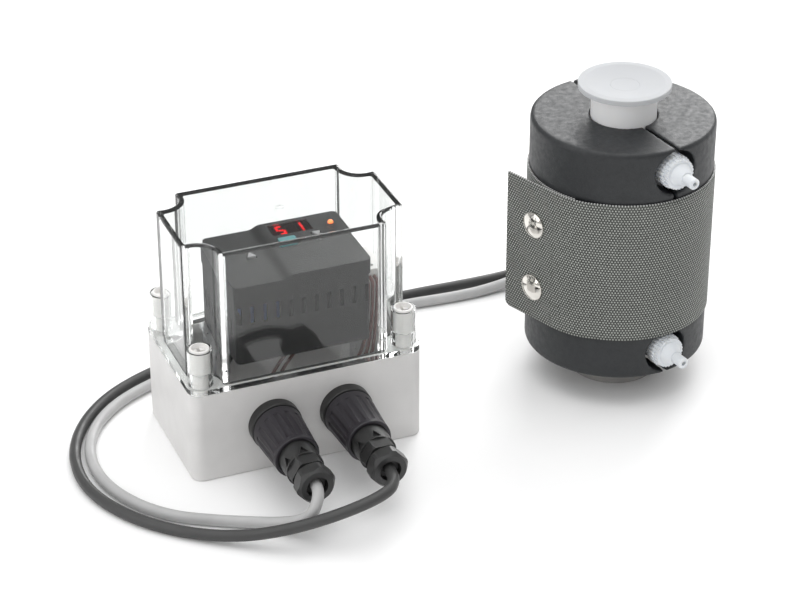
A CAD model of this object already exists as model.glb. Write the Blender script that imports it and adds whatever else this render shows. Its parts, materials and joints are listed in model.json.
"""Looks of the heated filter capsule and its temperature controller.

Metres, +Z up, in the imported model's own frame. Every piece stands on the model's nodes and bodies.
"""

import json
import math

import bpy
import numpy as np
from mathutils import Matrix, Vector, noise


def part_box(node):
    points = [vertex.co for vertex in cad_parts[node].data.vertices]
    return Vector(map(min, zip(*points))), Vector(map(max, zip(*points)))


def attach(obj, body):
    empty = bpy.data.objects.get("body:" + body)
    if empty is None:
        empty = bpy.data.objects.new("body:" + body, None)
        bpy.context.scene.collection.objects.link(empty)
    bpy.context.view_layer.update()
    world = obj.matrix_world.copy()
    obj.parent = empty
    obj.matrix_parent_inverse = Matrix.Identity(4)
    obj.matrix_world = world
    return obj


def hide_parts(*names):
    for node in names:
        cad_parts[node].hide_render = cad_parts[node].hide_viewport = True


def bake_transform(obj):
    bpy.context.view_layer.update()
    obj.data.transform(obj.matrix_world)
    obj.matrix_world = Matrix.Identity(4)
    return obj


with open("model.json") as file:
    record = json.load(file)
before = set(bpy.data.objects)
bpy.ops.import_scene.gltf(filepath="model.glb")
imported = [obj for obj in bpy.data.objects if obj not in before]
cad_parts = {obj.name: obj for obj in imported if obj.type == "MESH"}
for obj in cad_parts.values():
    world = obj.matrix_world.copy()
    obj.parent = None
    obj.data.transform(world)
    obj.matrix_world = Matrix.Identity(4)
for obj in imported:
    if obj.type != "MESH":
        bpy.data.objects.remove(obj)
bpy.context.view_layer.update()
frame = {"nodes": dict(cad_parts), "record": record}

MM = 0.001

# --- camera ---
CAMERA_AZIMUTH = -21.9  # degrees, 0 looks along +Y
CAMERA_ELEVATION = 30.0
CAMERA_TARGET = (-0.12492, 0.01231, 0.0600)
CAMERA_DISTANCE = 1.4547
CAMERA_LENS = 120.0  # mm
CAMERA_SENSOR = 36.0  # mm across
CAMERA_CLIP = (0.05, 20.0)

# --- cables, the same routes as the solids' ---
CABLE_D = 6.2 * MM
CABLE_Z = 3.15  # of the middle of a cable that lies on the floor, in mm as in the routes
CABLE_STEPS, CABLE_FACETS = 10, 6  # smoothness along a cable, and round it
HEATER_ROUTE = [
    (-174, -93, 28),
    (-174, -102, 28),
    (-178.5, -110.5, 27),
    (-187.5, -114.5, 26),
    (-199.5, -115.5, 23.5),
    (-215.5, -113, 19),
    (-234.5, -106, 12.5),
    (-256, -93, 5.5),
    (-280, -75.5, CABLE_Z),
    (-301, -52.5, CABLE_Z),
    (-314.5, -21.5, CABLE_Z),
    (-313.5, 11, CABLE_Z),
    (-301.5, 39.5, CABLE_Z),
    (-280.5, 63.5, CABLE_Z),
    (-251, 80, CABLE_Z),
    (-213, 91, CABLE_Z),
    (-169, 99.5, CABLE_Z),
    (-125, 105.5, CABLE_Z),
    (-82, 108, CABLE_Z),
    (-41, 106.5, CABLE_Z),
    (-13, 107.5, CABLE_Z),
    (12, 107.5, 5.5),
    (36, 102.5, 11),
    (53.5, 88, 17.5),
    (60, 66.5, 23.5),
    (54.4, 45.6, 27.4),
    (38.3, 32.1, 28),
]
SENSOR_ROUTE = [
    (-214, -92, 28),
    (-214, -97.5, 28),
    (-215.5, -102.1, 25.4),
    (-218, -104.5, 21.1),
    (-220.7, -103.8, 16.4),
    (-223.8, -98.7, 11.1),
    (-231, -90.5, 6.1),
    (-245.5, -80, 3.6),
    (-262.5, -70.5, CABLE_Z),
    (-280.5, -59.5, CABLE_Z),
    (-295.5, -41, CABLE_Z),
    (-305, -15.5, CABLE_Z),
    (-304.5, 12, CABLE_Z),
    (-294, 37.5, CABLE_Z),
    (-274.5, 57.5, CABLE_Z),
    (-247, 71, CABLE_Z),
    (-211, 81.5, CABLE_Z),
    (-169, 90, CABLE_Z),
    (-126, 96, CABLE_Z),
    (-88, 98, CABLE_Z),
    (-61, 95.5, CABLE_Z),
    (-36.5, 95.5, 3.3),
    (-12, 98.5, 5.5),
    (10, 99, 10.5),
    (25.5, 91.5, 17),
    (34, 76, 23),
    (33.7, 58.3, 27.4),
    (25, 43.3, 28),
]

# --- band round the jacket ---
BAND_THICKNESS = 0.95 * MM
WRAP_R = 50.72 * MM  # middle of the inner layer
OVERLAP_R = 51.975 * MM  # middle of the outer layer, and of the tail where it leaves the jacket
INNER_END = 215.0  # degrees from +X; the band runs clockwise from here
OVERLAP_FROM = -125.0
OVERLAP_FULL = -143.0
TAIL_AT = -159.0
TAIL_LENGTH = 34.6 * MM
TAIL_CORNER_R = 3.5 * MM  # at its lower end
WEAVE_PITCH = (1.63 * MM, 1.46 * MM)  # along the band, and up it
BAND_ROWS, WRAP_STEPS, TAIL_STEPS = 28, 260, 60  # quads up the band, round the jacket and along the tail
TAIL_CROWDING = 1.4  # above 1 the tail's columns crowd towards its free end, where the corner is
WEAVE_WANDER = (0.12, 0.10)  # how far the yarns wander along the band and up it, in pitches
KNOT_EDGES = (0.20, 0.43)  # from its middle, in pitches: where a knot starts to fade, and where it ends
KNOT_NARROWING = 1.12  # of a knot, along the band
CUT_KNOT_SQUASH = 0.25  # of a knot's distance from its row, on the cut edge
WEAVE_DEPTH = 0.28 * MM

# --- foam jacket ---
FOAM_VOXEL = 0.9 * MM
FOAM_SOFTENING = (0.5, 3)  # strength, and times over
FOAM_GRAIN = 0.06 * MM
FOAM_GRAIN_SCALE = 150  # grains in a metre
FOAM_SWELL, FOAM_PRESSED = 0.25 * MM, 0.55 * MM  # out beside the band, and back in under it
FOAM_SHOULDER = 4 * MM  # over which the one runs into the other
FOAM_OUTSIDE_R = 45 * MM  # only the outer skin is worked

# --- looks tuned by eye, away from the real material's values ---
LID_IOR = 1.43  # polycarbonate has about 1.585
LID_CLEAR = 0.991  # the rest is haze
FOOT_METALLIC = 0.55  # bare metal has 1
PORT_FADE = (168.5 * MM, 171.5 * MM)  # heights between which the neck's colour becomes the flange's
PORT_NECK, PORT_FLANGE = (0.97, 0.972, 0.975), (0.50, 0.51, 0.525)
PORT_SPECULAR = 0.06
POLYPROPYLENE = (0.70, 0.71, 0.725)

# --- surroundings ---
SKY_LOW = 0.42  # brightness of the surroundings near the horizon
SKY_OVERHEAD = 1.3  # added straight overhead
DARK_SIDE = 0.12  # share of that left where the lid's top mirrors the surroundings to the camera
DARK_EDGES = (math.cos(math.radians(20)), math.cos(math.radians(9)))  # from full light to full dark
SKY_STEEPNESS = 4.0  # how closely the overhead light keeps to the top
LAMP_TARGET = (-0.12, 0.0, 0.06)
SOFTBOXES = (  # name, place, width and height, radiance
    ("overhead_box", (-0.2, 0.2, 1.6), (1.8, 1.4), 0.7),
    ("back_box", (1.25, 1.7, 1.2), (1.3, 1.3), 6.8),
    ("left_box", (-1.8, -0.2, 0.8), (1.1, 1.1), 2.2),
    ("front_box", (-1.0, -1.6, 1.5), (1.0, 0.8), 1.6),
    ("right_box", (1.6, 0.2, 0.6), (0.6, 1.0), 1.4),
)
FLOOR_HALF = 4
LIGHT_BOUNCES = 32  # enough for the lid's edges
EDGE_R = 0.3 * MM  # of moulded pieces, as shaded


# --- finishes ---
class Finish:
    """A procedural material: one Principled shader and the nodes that drive it."""

    def __init__(self, name, colour, roughness, metallic=0.0, extra=None):
        self.material = bpy.data.materials.new(name)
        self.material.use_nodes = True
        self.tree = self.material.node_tree
        self.shader = self.tree.nodes["Principled BSDF"]
        self.colour = colour
        values = {"Base Color": (*colour, 1.0), "Roughness": roughness, "Metallic": metallic}
        values.update(extra or {})
        for key, value in values.items():
            self.shader.inputs[key].default_value = value
        self.normal = None

    def node(self, kind, inputs=None, **settings):
        """Adds a node, sets its properties, and feeds its inputs with values or other nodes' outputs."""
        made = self.tree.nodes.new(kind)
        for key, value in settings.items():
            setattr(made, key, value)
        for key, value in (inputs or {}).items():
            if isinstance(value, bpy.types.NodeSocket):
                self.tree.links.new(value, made.inputs[key])
            else:
                made.inputs[key].default_value = value
        return made

    def place(self):
        return self.node("ShaderNodeTexCoord").outputs["Object"]

    def stretched(self, scale):
        """Object coordinates scaled by a different number each way."""
        return self.node("ShaderNodeMapping", {"Vector": self.place(), "Scale": scale}).outputs["Vector"]

    def noise(self, scale, detail=3.0, at=None):
        inputs = {"Vector": at or self.place(), "Scale": scale, "Detail": detail}
        return self.node("ShaderNodeTexNoise", inputs).outputs["Fac"]

    def cells(self, scale, at=None, feature="F1"):
        inputs = {"Vector": at or self.place(), "Scale": scale}
        return self.node("ShaderNodeTexVoronoi", inputs, feature=feature).outputs["Distance"]

    def math(self, operation, first, second=0.0):
        return self.node("ShaderNodeMath", {0: first, 1: second}, operation=operation).outputs[0]

    def spread(self, value, low, high, to_low=0.0, to_high=1.0, smooth=False):
        inputs = {"Value": value, "From Min": low, "From Max": high, "To Min": to_low, "To Max": to_high}
        kind = "SMOOTHSTEP" if smooth else "LINEAR"
        return self.node("ShaderNodeMapRange", inputs, interpolation_type=kind).outputs["Result"]

    def mix(self, share, first, second):
        """A colour between two, each a colour or a socket."""
        made = self.node("ShaderNodeMix", data_type="RGBA")
        for socket, value in ((made.inputs[0], share), (made.inputs[6], first), (made.inputs[7], second)):
            if isinstance(value, bpy.types.NodeSocket):
                self.tree.links.new(value, socket)
            elif isinstance(value, float):
                socket.default_value = value
            else:
                socket.default_value = (*value, 1.0)
        return made.outputs[2]

    def set(self, name, socket):
        self.tree.links.new(socket, self.shader.inputs[name])

    def mottle(self, scale, amount):
        """Lets the colour drift a little lighter and darker over the surface."""
        share = self.spread(self.noise(scale), 0.3, 0.7)
        dark = tuple(c * (1 - amount) for c in self.colour)
        light = tuple(min(1.0, c * (1 + amount)) for c in self.colour)
        self.set("Base Color", self.mix(share, dark, light))
        return self

    def wear(self, scale, low, high):
        """Lets the roughness drift between two values."""
        self.set("Roughness", self.spread(self.noise(scale, 4.0), 0.3, 0.7, low, high))
        return self

    def relief(self, height, depth):
        """Adds a bump of that depth, in metres, over those already there."""
        inputs = {"Height": height, "Distance": depth, "Strength": 1.0}
        if self.normal:
            inputs["Normal"] = self.normal
        self.normal = self.node("ShaderNodeBump", inputs).outputs["Normal"]
        self.set("Normal", self.normal)
        return self

    def soft_edges(self, radius):
        """Shades sharp edges as if they were broken by that radius. Comes before any relief."""
        self.normal = self.node("ShaderNodeBevel", {"Radius": radius}, samples=4).outputs["Normal"]
        return self

    def let_light_through(self, tint):
        """Lamps reach what is behind the clear piece, as they do through a thin real wall."""
        path = self.node("ShaderNodeLightPath").outputs["Is Shadow Ray"]
        clear = self.node("ShaderNodeBsdfTransparent", {"Color": (*tint, 1.0)}).outputs[0]
        both = self.node("ShaderNodeMixShader", {0: path, 1: self.shader.outputs[0], 2: clear})
        self.tree.links.new(both.outputs[0], self.tree.nodes["Material Output"].inputs["Surface"])
        return self


def grey(value, warm=0.0):
    """Linear colour of a grey given from 0 to 255, with a little red in or out."""
    linear = ((value / 255 + 0.055) / 1.055) ** 2.4
    return (linear * (1 + warm), linear, linear * (1 - warm))


def moulded(name, colour, roughness, grain=0.02 * MM, grain_scale=2600.0, extra=None):
    """Spark-textured or satin moulded plastic."""
    made = Finish(name, colour, roughness, extra=extra).soft_edges(EDGE_R)
    made.mottle(60.0, 0.035)
    made.wear(90.0, roughness - 0.05, roughness + 0.06)
    return made.relief(made.noise(grain_scale, 3.0), grain)


def rubber(name, colour, roughness):
    made = Finish(name, colour, roughness, extra={"Specular IOR Level": 0.4})
    made.mottle(140.0, 0.12)
    made.wear(300.0, roughness - 0.08, roughness + 0.08)
    return made.relief(made.noise(3500.0, 2.0), 0.015 * MM)


def clear_lid():
    """The clear lid, with faint flow lines and fine handling marks.

    It bends light less than polycarbonate does, and has a little haze, so that what it mirrors doesn't hide the
    controller.
    """
    made = Finish(
        "clear_polycarbonate", (0.965, 0.975, 0.97), 0.02,
        extra={"Transmission Weight": LID_CLEAR, "IOR": LID_IOR},
    )
    marks = made.noise(500.0, 6.0, made.stretched((1.0, 9.0, 2.0)))
    made.set("Roughness", made.spread(marks, 0.55, 0.8, 0.012, 0.05))
    made.relief(made.noise(26.0, 1.0), 0.10 * MM)
    return made.let_light_through((0.93, 0.94, 0.94))


def window():
    made = Finish(
        "tinted_window", (0.30, 0.03, 0.035), 0.04,
        extra={"Transmission Weight": 1.0, "IOR": 1.49},
    )
    made.set("Roughness", made.spread(made.noise(700.0, 5.0), 0.55, 0.8, 0.03, 0.12))
    return made.let_light_through((0.4, 0.1, 0.1))


def lit(name, colour, strength):
    """A lit lens or segment, a little brighter in its middle."""
    made = Finish(name, colour, 0.35)
    glow = made.spread(made.noise(900.0, 2.0), 0.3, 0.7, strength * 0.9, strength * 1.1)
    made.shader.inputs["Emission Color"].default_value = (*colour, 1.0)
    made.set("Emission Strength", glow)
    return made


def turned_metal(name, colour, low, high, pitch):
    """Lathe-turned metal: fine rings round Z under a soft blasted grain. Its metallic share is tuned by eye."""
    made = Finish(name, colour, low, metallic=FOOT_METALLIC)
    made.mottle(45.0, 0.08)
    made.wear(160.0, low, high)
    height = made.node("ShaderNodeSeparateXYZ", {0: made.place()}).outputs["Z"]
    rings = made.math("SINE", made.math("MULTIPLY", height, 2 * math.pi / pitch))
    made.relief(rings, 0.004 * MM)
    return made.relief(made.noise(2600.0, 3.0), 0.02 * MM)


def nickel():
    """Polished nickel plate, faintly uneven."""
    made = Finish("polished_nickel", (0.76, 0.735, 0.69), 0.1, metallic=1.0)
    made.mottle(160.0, 0.02)
    return made.wear(500.0, 0.07, 0.15)


def plated_sheet():
    made = Finish("zinc_plate", (0.56, 0.56, 0.57), 0.35, metallic=1.0)
    spangle = made.cells(260.0)
    made.set("Base Color", made.mix(spangle, (0.48, 0.48, 0.49), (0.62, 0.62, 0.63)))
    return made.wear(240.0, 0.26, 0.42)


def translucent(name, colour, roughness, weight=0.3):
    """Natural polypropylene or nylon: light goes a little way in."""
    made = Finish(
        name, colour, roughness,
        extra={
            "Subsurface Weight": weight, "Subsurface Scale": 0.003, "Subsurface Radius": (1.0, 0.95, 0.85),
            "Specular IOR Level": 0.25,
        },
    )
    made.mottle(90.0, 0.03)
    made.wear(120.0, roughness - 0.06, roughness + 0.08)
    made.relief(made.noise(110.0, 2.0), 0.03 * MM)
    return made.relief(made.noise(2200.0, 2.0), 0.006 * MM)


def port_plastic():
    """The capsule's plastic on the upper port.

    The neck is lighter and the flange's face darker than one plastic would be, so that the flange shows against
    the white floor.
    """
    made = translucent("port_polypropylene", POLYPROPYLENE, 0.6)
    made.shader.inputs["Specular IOR Level"].default_value = PORT_SPECULAR
    height = made.node("ShaderNodeSeparateXYZ", {0: made.place()}).outputs["Z"]
    made.set("Base Color", made.mix(made.spread(height, *PORT_FADE, smooth=True), PORT_NECK, PORT_FLANGE))
    return made


def circuit():
    """Solder mask over copper, the tracks a shade lighter."""
    made = Finish("solder_mask", (0.02, 0.12, 0.05), 0.3, extra={"Coat Weight": 0.4})
    tracks = made.cells(420.0, made.stretched((1.0, 0.35, 1.0)), "DISTANCE_TO_EDGE")
    share = made.spread(tracks, 0.05, 0.12)
    made.set("Base Color", made.mix(share, (0.05, 0.22, 0.09), (0.015, 0.085, 0.035)))
    return made.relief(share, 0.02 * MM)


def membrane():
    made = Finish("pleated_membrane", (0.80, 0.80, 0.77), 0.75, extra={"Subsurface Weight": 0.1})
    made.mottle(200.0, 0.05)
    return made.relief(made.noise(1800.0, 4.0, made.stretched((1.0, 1.0, 0.2))), 0.05 * MM)


def foam():
    """Closed cell foam: a fine skin with scattered open pores and rubbed lighter patches."""
    made = Finish("closed_cell_foam", grey(36, -0.1), 0.5, extra={"Specular IOR Level": 0.5})
    patches = made.spread(made.noise(36.0, 5.0), 0.35, 0.75)
    fine = made.spread(made.noise(900.0, 3.0), 0.3, 0.7)
    skin = made.mix(patches, grey(30, -0.12), grey(37, -0.12))
    skin = made.mix(made.math("MULTIPLY", fine, 0.3), skin, grey(48, -0.1))
    pores = made.spread(made.cells(780.0), 0.10, 0.26)
    big_pores = made.spread(made.cells(170.0), 0.035, 0.07)
    open_cell = made.math("MULTIPLY", pores, big_pores)
    made.set("Base Color", made.mix(open_cell, grey(26), skin))
    made.wear(320.0, 0.42, 0.58)
    made.relief(made.noise(950.0, 4.0), 0.035 * MM)
    return made.relief(open_cell, 0.06 * MM)


def weave(edge=False):
    """Coated mesh: staggered pale knots over dark yarns. The UV map is in metres along and up the band."""
    made = Finish("band_cut_edge" if edge else "band_weave", (0.11, 0.11, 0.105), 0.55)
    uv = made.node("ShaderNodeTexCoord").outputs["UV"]
    split = made.node("ShaderNodeSeparateXYZ", {0: uv})
    wobble = made.noise(120.0, 2.0, uv)
    along = made.math("MULTIPLY", split.outputs["X"], 1 / WEAVE_PITCH[0])
    up = made.math("MULTIPLY", split.outputs["Y"], 1 / WEAVE_PITCH[1])
    along = made.math("ADD", along, made.math("MULTIPLY", wobble, WEAVE_WANDER[0]))
    up = made.math("ADD", up, made.math("MULTIPLY", wobble, WEAVE_WANDER[1]))
    row = made.math("FLOOR", up)
    stagger = made.math("MULTIPLY", made.math("FLOORED_MODULO", row, 2.0), 0.5)
    across = made.math("SUBTRACT", made.math("FRACT", made.math("ADD", along, stagger)), 0.5)
    rise = made.math("SUBTRACT", made.math("FRACT", up), 0.5)
    if edge:
        rise = made.math("MULTIPLY", rise, CUT_KNOT_SQUASH)
    reach = made.math("MULTIPLY", across, KNOT_NARROWING)
    squared = made.math("ADD", made.math("POWER", reach, 2.0), made.math("POWER", rise, 2.0))
    distance = made.math("SQRT", squared)
    knot = made.spread(distance, *KNOT_EDGES, 1.0, 0.0, smooth=True)
    shade = made.spread(made.noise(700.0, 2.0, uv), 0.3, 0.7, 0.75, 1.0)
    patch = made.spread(made.noise(30.0, 3.0, uv), 0.3, 0.7, 0.86, 1.0)
    strength = made.math("MULTIPLY", made.math("MULTIPLY", knot, shade), patch)
    fibre = made.spread(made.noise(500.0, 2.0, uv), 0.3, 0.7)
    yarn = made.mix(fibre, (0.036, 0.039, 0.035), (0.078, 0.082, 0.076))
    pale = grey(225) if edge else (0.50, 0.52, 0.485)
    made.set("Base Color", made.mix(strength, yarn, pale))
    made.set("Roughness", made.spread(knot, 0.0, 1.0, 0.7, 0.45))
    return made.relief(knot, WEAVE_DEPTH)


def sheath(name, colour, roughness):
    """Extruded cable sheath: satin, with the cores just showing through as a slow twist."""
    made = Finish(name, colour, roughness, extra={"Specular IOR Level": 0.45})
    made.mottle(55.0, 0.07)
    made.wear(130.0, roughness - 0.07, roughness + 0.09)
    made.relief(made.noise(85.0, 1.0), 0.12 * MM)
    return made.relief(made.noise(1900.0, 3.0), 0.01 * MM)


def make_finishes():
    """The finish of each material slot of the record."""
    satin, low = {"Specular IOR Level": 0.5}, {"Specular IOR Level": 0.16}
    return {
        "enclosure_grey": moulded("enclosure_plastic", grey(214, 0.012), 0.52, 0.03 * MM, 1900.0),
        "gasket_rubber": rubber("seal_rubber", grey(48), 0.6),
        "clear_lid": clear_lid(),
        "plated_sheet": plated_sheet(),
        "housing_black": moulded("controller_plastic", grey(20), 0.5, 0.002 * MM, 2600.0, low),
        "display_window": window(),
        "digit_red": lit("lit_digits", (1.0, 0.10, 0.12), 4.5),
        "led_orange": lit("lit_lamp", (1.0, 0.22, 0.06), 1.6),
        "key_grey": rubber("key_grey", grey(125), 0.5),
        "key_teal": moulded("key_teal", (0.025, 0.19, 0.20), 0.4),
        "board_green": circuit(),
        "relay_blue": moulded("relay_case", (0.03, 0.12, 0.42), 0.35),
        "terminal_white": moulded("terminal_nylon", grey(212, 0.02), 0.45),
        "wire_red": moulded("wire_insulation", (0.10, 0.018, 0.012), 0.38),
        "connector_black": moulded("connector_nylon", grey(30, 0.01), 0.42, 0.012 * MM, 1500.0, satin),
        "cable_black": sheath("cable_black", grey(62), 0.42),
        "cable_grey": sheath("cable_grey", grey(176), 0.45),
        "capsule_white": translucent("capsule_polypropylene", POLYPROPYLENE, 0.5),
        "membrane": membrane(),
        "foot_metal": turned_metal("blasted_foot", grey(165, 0.03), 0.42, 0.58, 0.45 * MM),
        "heater_silicone": rubber("heater_silicone", (0.22, 0.03, 0.015), 0.55),
        "foam": foam(),
        "band_mesh": weave(),
        "nickel": nickel(),
        "valve_white": translucent("valve_nylon", (0.70, 0.725, 0.75), 0.34, 0.45),
        "screw_cream": translucent("screw_nylon", grey(226, 0.02), 0.38, 0.2),
    }


def paint(nodes, finishes):
    """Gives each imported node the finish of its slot, and a few pieces their own variant of it."""
    for entry in frame["record"]["subparts"]:
        for holder in nodes[entry["node"]].material_slots:
            holder.material = finishes[entry["material_slot"]].material
    port = port_plastic()
    own = {"upper_port": port, "flange_plug": port}
    by_kind = {
        "plug_sleeve": moulded("sleeve_nylon", (0.017, 0.0145, 0.019), 0.44, 0.015 * MM, 1800.0),
        "plug_body": moulded("plug_nylon", grey(40), 0.36, 0.01 * MM, 1500.0),
        "gland_nut": moulded("nut_nylon", grey(42), 0.32, 0.01 * MM, 1500.0),
    }
    for kind, finish in by_kind.items():
        for side in ("left", "right"):
            own[f"{kind}_{side}"] = finish
    for name, finish in own.items():
        for holder in nodes[name].material_slots:
            holder.material = finish.material


# --- pieces ---
def link(name, data, finish=None):
    made = bpy.data.objects.new(name, data)
    bpy.context.scene.collection.objects.link(made)
    if finish:
        data.materials.append(finish.material)
    return made


def cable(name, route, finish, node):
    """A free cable along one smooth spline."""
    data = bpy.data.curves.new(name, "CURVE")
    data.dimensions = "3D"
    spline = data.splines.new("NURBS")
    spline.points.add(len(route) - 1)
    for point, (x, y, z) in zip(spline.points, route):
        point.co = (x * MM, y * MM, z * MM, 1.0)
    spline.order_u = 3
    spline.use_endpoint_u = True
    spline.resolution_u = CABLE_STEPS
    spline.use_smooth = True
    data.bevel_depth = CABLE_D / 2
    data.bevel_resolution = CABLE_FACETS
    data.use_fill_caps = True
    piece = link(name, data, finish)
    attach(piece, "root")
    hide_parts(node)


def ribbon(name, columns, bottom, finishes, start_u=0.0):
    """A sheet of the band's thickness that stands along a path.

    columns are (x, y, outward x, outward y, z low, z high) along the sheet's middle, and the rims get the cut
    edge's finish. The UV map is in metres, along and up.
    """
    rows = BAND_ROWS
    half = BAND_THICKNESS / 2
    data = bpy.data.meshes.new(name)
    for finish in finishes:
        data.materials.append(finish.material)
    vertices, uvs, u = [], [], start_u
    for side in (1, -1):
        u = start_u
        for k, (x, y, nx, ny, low, high) in enumerate(columns):
            if k:
                u += math.dist(columns[k - 1][:2], (x, y))
            for j in range(rows + 1):
                z = low + (high - low) * j / rows
                vertices.append((x + nx * half * side, y + ny * half * side, z))
                uvs.append((u, z - bottom))
    count = len(columns)
    stride = rows + 1
    back = count * stride
    faces, rim = [], []
    for k in range(count - 1):
        for j in range(rows):
            a, b = k * stride + j, (k + 1) * stride + j
            faces.append((a, b, b + 1, a + 1))
            faces.append((back + a + 1, back + b + 1, back + b, back + a))
        low, next_low = k * stride, (k + 1) * stride
        high, next_high = low + rows, next_low + rows
        rim.append((next_low, low, back + low, back + next_low))
        rim.append((high, next_high, back + next_high, back + high))
    for j in range(rows):
        last = (count - 1) * stride + j
        rim.append((j, j + 1, back + j + 1, back + j))
        rim.append((last + 1, last, back + last, back + last + 1))
    data.from_pydata(vertices, [], faces + rim)
    layer = data.uv_layers.new(name="band")
    for polygon in data.polygons:
        polygon.use_smooth = polygon.index < len(faces)
        polygon.material_index = 0 if polygon.index < len(faces) else 1
        for loop in polygon.loop_indices:
            layer.data[loop].uv = uvs[data.loops[loop].vertex_index]
    data.validate()
    data.update()
    return link(name, data)


def band_pieces(finishes):
    """The band round the jacket, whose last turn lies over its first, and the loose tail."""
    low, high = (corner.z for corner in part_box("band_wrap"))
    columns = []
    for k in range(WRAP_STEPS + 1):
        angle = INNER_END + (TAIL_AT - INNER_END) * k / WRAP_STEPS
        rise = min(1.0, max(0.0, (OVERLAP_FROM - angle) / (OVERLAP_FROM - OVERLAP_FULL)))
        radius = WRAP_R + (OVERLAP_R - WRAP_R) * rise * rise * (3 - 2 * rise)
        nx, ny = math.cos(math.radians(angle)), math.sin(math.radians(angle))
        columns.append((nx * radius, ny * radius, nx, ny, low, high))
    wrap = ribbon("band_round_jacket", columns, low, finishes)
    length = sum(math.dist(a[:2], b[:2]) for a, b in zip(columns, columns[1:]))
    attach(wrap, "root")
    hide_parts("band_wrap")

    nx, ny = math.cos(math.radians(TAIL_AT)), math.sin(math.radians(TAIL_AT))
    ax, ay = ny, -nx  # along the tail, square to the way out of the jacket
    start = Vector((nx * OVERLAP_R, ny * OVERLAP_R, 0))
    columns = []
    for k in range(TAIL_STEPS + 1):
        along = TAIL_LENGTH * (1 - (1 - k / TAIL_STEPS) ** TAIL_CROWDING)
        over = max(0.0, along - (TAIL_LENGTH - TAIL_CORNER_R))
        clip = TAIL_CORNER_R - math.sqrt(max(0.0, TAIL_CORNER_R**2 - over**2))
        columns.append((start.x + ax * along, start.y + ay * along, nx, ny, low + clip, high))
    tail = ribbon("band_loose_tail", columns, low, finishes, length)
    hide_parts("band_tail")
    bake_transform(tail)


def foam_piece(name, node, finish):
    """A soft half shell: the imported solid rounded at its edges, pressed in by the band, with a fine grain."""
    data = frame["nodes"][node].data.copy()
    data.materials.clear()
    piece = link(name, data, finish)
    remesh = piece.modifiers.new("remesh", "REMESH")
    remesh.mode = "VOXEL"
    remesh.voxel_size = FOAM_VOXEL
    remesh.use_smooth_shade = True
    soften = piece.modifiers.new("soften", "SMOOTH")
    soften.factor, soften.iterations = FOAM_SOFTENING
    evaluated = piece.evaluated_get(bpy.context.evaluated_depsgraph_get())
    data = bpy.data.meshes.new_from_object(evaluated)
    piece.modifiers.clear()
    piece.data = data
    band_low, band_high = (corner.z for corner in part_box("band_wrap"))
    points = np.zeros(len(data.vertices) * 3)
    data.vertices.foreach_get("co", points)
    points = points.reshape(-1, 3)
    outward = np.hypot(points[:, 0], points[:, 1])
    for index in np.flatnonzero(outward > FOAM_OUTSIDE_R):
        x, y, z = points[index]
        pressed = min(1.0, max(0.0, min(z - band_low, band_high - z) / FOAM_SHOULDER + 0.5))
        swell = FOAM_SWELL - FOAM_PRESSED * pressed
        grain = noise.noise(Vector((x, y, z)) * FOAM_GRAIN_SCALE) * FOAM_GRAIN
        shift = (swell + grain) / outward[index]
        points[index, 0] += x * shift
        points[index, 1] += y * shift
    data.vertices.foreach_set("co", points.ravel())
    if not data.materials:
        data.materials.append(finish.material)
    for polygon in data.polygons:
        polygon.use_smooth = True
    data.update()
    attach(piece, "root")
    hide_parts(node)


# --- stage ---
def aimed(location, target):
    """The rotation that points -Z from one place to another."""
    return (Vector(target) - Vector(location)).to_track_quat("-Z", "Y").to_euler()


def camera_side():
    """The direction from the object to the camera."""
    azimuth, elevation = math.radians(CAMERA_AZIMUTH), math.radians(CAMERA_ELEVATION)
    return Vector((
        math.sin(azimuth) * math.cos(elevation),
        -math.cos(azimuth) * math.cos(elevation),
        math.sin(elevation),
    ))


def make_camera():
    data = bpy.data.cameras.new("camera")
    data.lens = CAMERA_LENS
    data.sensor_width = CAMERA_SENSOR
    data.clip_start, data.clip_end = CAMERA_CLIP
    camera = link("camera", data)
    camera.location = Vector(CAMERA_TARGET) + camera_side() * CAMERA_DISTANCE
    camera.rotation_euler = aimed(camera.location, CAMERA_TARGET)
    bpy.context.scene.camera = camera


def softbox(name, location, size, radiance):
    data = bpy.data.lights.new(name, "AREA")
    data.shape = "RECTANGLE"
    data.size, data.size_y = size
    data.energy = radiance * math.pi * size[0] * size[1]
    light = link(name, data)
    light.location = location
    light.rotation_euler = aimed(location, LAMP_TARGET)


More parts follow.
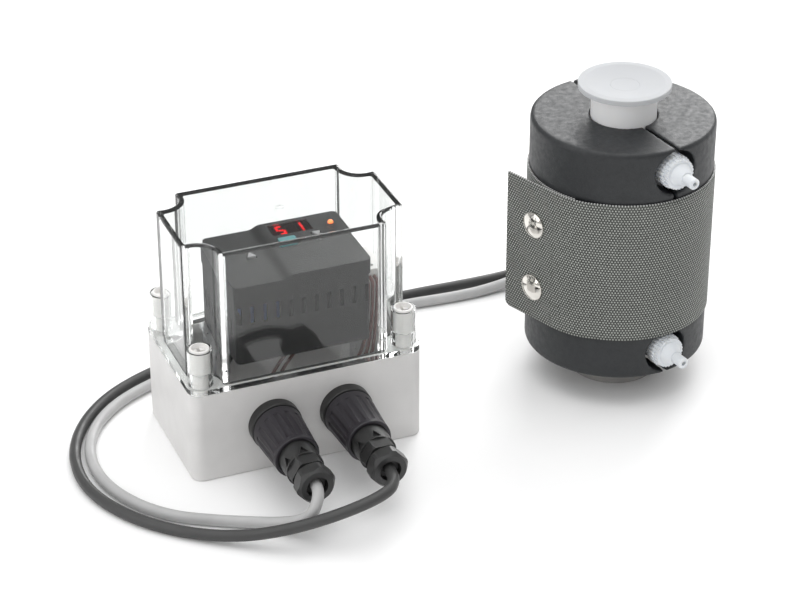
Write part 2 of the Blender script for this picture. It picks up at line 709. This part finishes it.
def make_sky():
    """Studio surroundings: dim at the sides, bright overhead, and dark in one patch.

    The patch is where the lid's top mirrors the surroundings to the camera. It is there for that view only.
    """
    world = bpy.data.worlds.new("studio")
    world.use_nodes = True
    nodes, links = world.node_tree.nodes, world.node_tree.links

    def step(operation, first, second):
        made = nodes.new("ShaderNodeMath")
        made.operation = operation
        for socket, value in zip(made.inputs, (first, second)):
            if isinstance(value, float):
                socket.default_value = value
            else:
                links.new(value, socket)
        return made.outputs[0]

    direction = nodes.new("ShaderNodeTexCoord").outputs["Generated"]
    split = nodes.new("ShaderNodeSeparateXYZ")
    links.new(direction, split.inputs[0])
    height = step("POWER", step("MAXIMUM", split.outputs["Z"], 0.0), SKY_STEEPNESS)
    light = step("ADD", step("MULTIPLY", height, SKY_OVERHEAD), SKY_LOW)

    x, y, z = camera_side()
    towards = nodes.new("ShaderNodeVectorMath")
    towards.operation = "DOT_PRODUCT"
    links.new(direction, towards.inputs[0])
    towards.inputs[1].default_value = (-x, -y, z)
    dark = nodes.new("ShaderNodeMapRange")
    dark.interpolation_type = "SMOOTHSTEP"
    links.new(towards.outputs["Value"], dark.inputs["Value"])
    limits = {"From Min": DARK_EDGES[0], "From Max": DARK_EDGES[1], "To Min": 1.0, "To Max": DARK_SIDE}
    for name, value in limits.items():
        dark.inputs[name].default_value = value
    shade = step("MULTIPLY", light, dark.outputs["Result"])
    nodes["Background"].inputs["Color"].default_value = (1.0, 1.0, 1.0, 1.0)
    links.new(shade, nodes["Background"].inputs["Strength"])
    bpy.context.scene.world = world


def make_stage():
    finish = Finish("studio_floor", (0.92, 0.92, 0.92), 0.6, extra={"Specular IOR Level": 0.15})
    finish.mottle(2.0, 0.01)
    data = bpy.data.meshes.new("floor")
    corners = [(x * FLOOR_HALF, y * FLOOR_HALF, 0) for x, y in ((-1, -1), (1, -1), (1, 1), (-1, 1))]
    data.from_pydata(corners, [], [(0, 1, 2, 3)])
    floor = link("floor", data, finish)
    for name, location, size, radiance in SOFTBOXES:
        softbox(name, location, size, radiance)
    make_sky()
    scene = bpy.context.scene
    scene.cycles.max_bounces = LIGHT_BOUNCES
    scene.cycles.transmission_bounces = LIGHT_BOUNCES
    scene.view_settings.view_transform = "Standard"
    scene.view_settings.look = "None"


make_camera()
finishes = make_finishes()
cable("heater_lead", HEATER_ROUTE, finishes["cable_black"], "heater_cable")
cable("sensor_lead", SENSOR_ROUTE, finishes["cable_grey"], "sensor_cable")
paint(frame["nodes"], finishes)
foam_piece("foam_jacket_left", "foam_shell_left", finishes["foam"])
foam_piece("foam_jacket_right", "foam_shell_right", finishes["foam"])
band_pieces([finishes["band_mesh"], weave(edge=True)])
make_stage()
